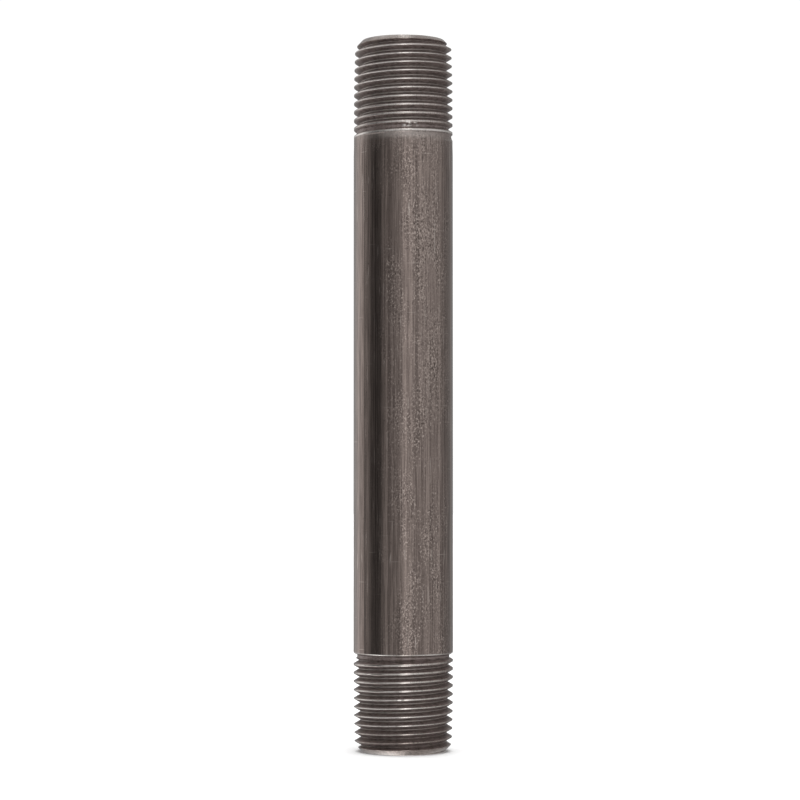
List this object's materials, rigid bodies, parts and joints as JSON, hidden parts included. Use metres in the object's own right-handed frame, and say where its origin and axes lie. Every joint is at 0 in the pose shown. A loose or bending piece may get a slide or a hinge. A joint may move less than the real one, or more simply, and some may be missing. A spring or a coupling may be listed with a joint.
{
  "type": "threaded pipe nipple",
  "caption": "Straight length of steel pipe with an external right-hand tapered pipe thread on each end, for joining two internally threaded fittings.",
  "frame": {"origin": "centre of the lower end face, on the pipe's axis", "axes": "+Z along the pipe's axis from the lower end to the upper end; -Y is the front"},
  "size_m": [0.0214, 0.0214, 0.1524],
  "materials": {
    "dark_steel": "dark oiled mill finish with draw lines along the pipe, brighter metal worn through on the thread crests and end bevels"
  },
  "bodies": {
    "root": {"pipe_nipple": "dark_steel"}
  },
  "joints": []
}
